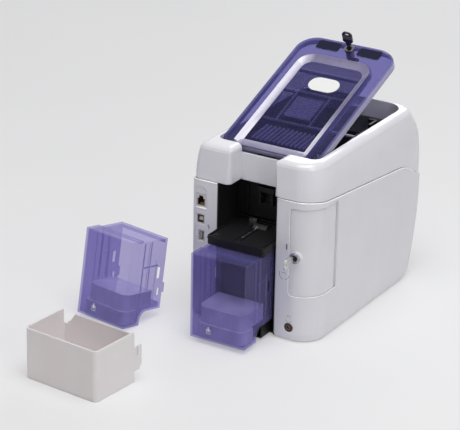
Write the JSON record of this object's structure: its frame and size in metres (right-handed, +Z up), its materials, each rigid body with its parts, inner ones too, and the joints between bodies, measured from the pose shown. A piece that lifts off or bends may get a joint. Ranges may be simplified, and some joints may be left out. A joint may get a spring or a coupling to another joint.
{
  "type": "id card printer",
  "caption": "Desktop card printer: front-hinged translucent lid held open, locked side door, clip-on card hopper, loose spare hopper and open card tray.",
  "frame": {"origin": "centre of the printer's flat underside, half-way along its width and its depth", "axes": "+X to the right seen from the hopper side, +Y to the back, +Z up; the sides of the housing lie along Y"},
  "size_m": [0.3407, 0.6498, 0.3839],
  "materials": {
    "housing": "glossy",
    "top_housing": "glossy",
    "tray_plastic": "satin",
    "violet_clear": "polished, translucent",
    "violet_insert": "satin, translucent",
    "black_plastic": "fine grain",
    "dark_steel": "satin",
    "white_badge": "glossy",
    "lock_chrome": "polished",
    "lock_dark": "satin",
    "steel": "brushed",
    "rubber": "matte",
    "shield": "tinned",
    "board_green": "lacquered",
    "jack_black": "satin",
    "ribbon": "glossy",
    "ribbon_dark": "satin",
    "brass": "turned",
    "head_metal": "satin"
  },
  "bodies": {
    "body": {"base_pan": "dark_steel", "rubber_feet": "rubber", "left_side_cover": "housing", "right_side_cover": "housing", "top_cover": "top_housing", "bay_frame": "black_plastic", "card_shelf": "black_plastic", "shelf_spring": "steel", "shelf_clip": "steel", "card_stops": "black_plastic", "door_hinge_pin": "steel", "network_jack": "shield", "usb_b_jack": "shield", "usb_a_jack": "shield", "power_jack": "jack_black", "main_board": "board_green", "chassis_left": "dark_steel", "chassis_right": "dark_steel", "chassis_cross": "dark_steel", "rear_post": "black_plastic", "head_pin": "steel", "ribbon_film": "ribbon_dark", "drive_motor": "dark_steel", "drive_belt": "rubber", "chassis_screws": "steel"},
    "lid": {"lid_shell": "violet_clear", "lid_ribs": "violet_clear", "lid_badge": "white_badge", "lid_hinge_pins": "steel", "lid_lock_barrel": "lock_chrome"},
    "lid_lock": {"lid_lock_core": "lock_dark"},
    "lid_key": {"lid_key": "lock_chrome"},
    "door": {"access_door": "housing", "door_lock_barrel": "lock_chrome"},
    "door_lock": {"door_lock_core": "lock_dark"},
    "door_key": {"door_key": "lock_chrome"},
    "mounted_hopper": {"output_hopper": "violet_clear", "output_platform": "violet_insert"},
    "loose_hopper": {"input_hopper": "violet_clear", "input_platform": "violet_insert"},
    "loose_tray": {"card_tray": "tray_plastic"},
    "print_head": {"print_head_arm": "dark_steel", "print_head": "head_metal"},
    "supply": {"supply_spool": "ribbon"},
    "take_up": {"take_up_spool": "ribbon_dark"},
    "platen": {"platen_roller": "rubber", "platen_shaft": "steel"},
    "front_feed": {"front_feed_roller": "rubber", "front_feed_shaft": "steel"},
    "rear_feed": {"rear_feed_roller": "rubber", "rear_feed_shaft": "steel"},
    "front_pinch": {"front_pinch_roller": "steel"},
    "rear_pinch": {"rear_pinch_roller": "steel"},
    "pick": {"pick_roller": "rubber"},
    "motor_rotor": {"motor_pulley": "brass"}
  },
  "joints": [
    {"name": "lid_hinge", "type": "hinge", "parent": "body", "child": "lid", "pos_m": [0, -0.1265, 0.262], "axis": [1, 0, 0], "range_deg": [-20.5, 55]},
    {"name": "lid_lock_turn", "type": "hinge", "parent": "lid", "child": "lid_lock", "pos_m": [0.004, 0.09597, 0.35372], "axis": [0, -0.3502, 0.9367], "range_deg": [0, 90]},
    {"name": "lid_key_pull", "type": "slide", "parent": "lid_lock", "child": "lid_key", "axis": [0, -0.3502, 0.9367], "range_m": [0, 0.03]},
    {"name": "door_hinge", "type": "hinge", "parent": "body", "child": "door", "pos_m": [0.095, -0.1115, 0.136], "axis": [0, 0, 1], "range_deg": [0, 90]},
    {"name": "door_lock_turn", "type": "hinge", "parent": "door", "child": "door_lock", "pos_m": [0.0709, -0.1705, 0.1317], "axis": [0, -1, 0], "range_deg": [0, 90]},
    {"name": "door_key_pull", "type": "slide", "parent": "door_lock", "child": "door_key", "axis": [0, -1, 0], "range_m": [0, 0.03]},
    {"name": "hopper_pull", "type": "slide", "parent": "body", "child": "mounted_hopper", "axis": [0, -1, 0], "range_m": [0, 0.12]},
    {"name": "loose_hopper_lift", "type": "slide", "parent": "body", "child": "loose_hopper", "axis": [0, 0, 1], "range_m": [0, 0.25]},
    {"name": "loose_tray_lift", "type": "slide", "parent": "body", "child": "loose_tray", "axis": [0, 0, 1], "range_m": [0, 0.25]},
    {"name": "print_head_lift", "type": "hinge", "parent": "body", "child": "print_head", "pos_m": [0, 0.0815, 0.224], "axis": [-1, 0, 0], "range_deg": [0, 30]},
    {"name": "supply_spin", "type": "hinge", "parent": "body", "child": "supply", "pos_m": [0, -0.0625, 0.192], "axis": [1, 0, 0], "continuous": true},
    {"name": "take_up_spin", "type": "hinge", "parent": "body", "child": "take_up", "pos_m": [0, 0.0455, 0.188], "axis": [1, 0, 0], "continuous": true},
    {"name": "platen_spin", "type": "hinge", "parent": "body", "child": "platen", "pos_m": [0, -0.0075, 0.1407], "axis": [1, 0, 0], "continuous": true},
    {"name": "front_feed_spin", "type": "hinge", "parent": "body", "child": "front_feed", "pos_m": [0, -0.0885, 0.1437], "axis": [1, 0, 0], "continuous": true},
    {"name": "rear_feed_spin", "type": "hinge", "parent": "body", "child": "rear_feed", "pos_m": [0, 0.0595, 0.1437], "axis": [1, 0, 0], "continuous": true},
    {"name": "front_pinch_spin", "type": "hinge", "parent": "body", "child": "front_pinch", "pos_m": [0, -0.0885, 0.156], "axis": [1, 0, 0], "continuous": true},
    {"name": "rear_pinch_spin", "type": "hinge", "parent": "body", "child": "rear_pinch", "pos_m": [0, 0.0595, 0.156], "axis": [1, 0, 0], "continuous": true},
    {"name": "pick_spin", "type": "hinge", "parent": "body", "child": "pick", "pos_m": [0, -0.1265, 0.1385], "axis": [1, 0, 0], "continuous": true},
    {"name": "motor_spin", "type": "hinge", "parent": "body", "child": "motor_rotor", "pos_m": [0, -0.0505, 0.095], "axis": [1, 0, 0], "continuous": true}
  ],
  "couplings": [
    {"joint": "take_up_spin", "follows": "supply_spin", "ratio": 1.5833},
    {"joint": "front_feed_spin", "follows": "platen_spin", "ratio": 1.5},
    {"joint": "rear_feed_spin", "follows": "platen_spin", "ratio": 1.5},
    {"joint": "front_pinch_spin", "follows": "platen_spin", "ratio": -1.8},
    {"joint": "rear_pinch_spin", "follows": "platen_spin", "ratio": -1.8},
    {"joint": "motor_spin", "follows": "platen_spin", "ratio": 1.8}
  ]
}
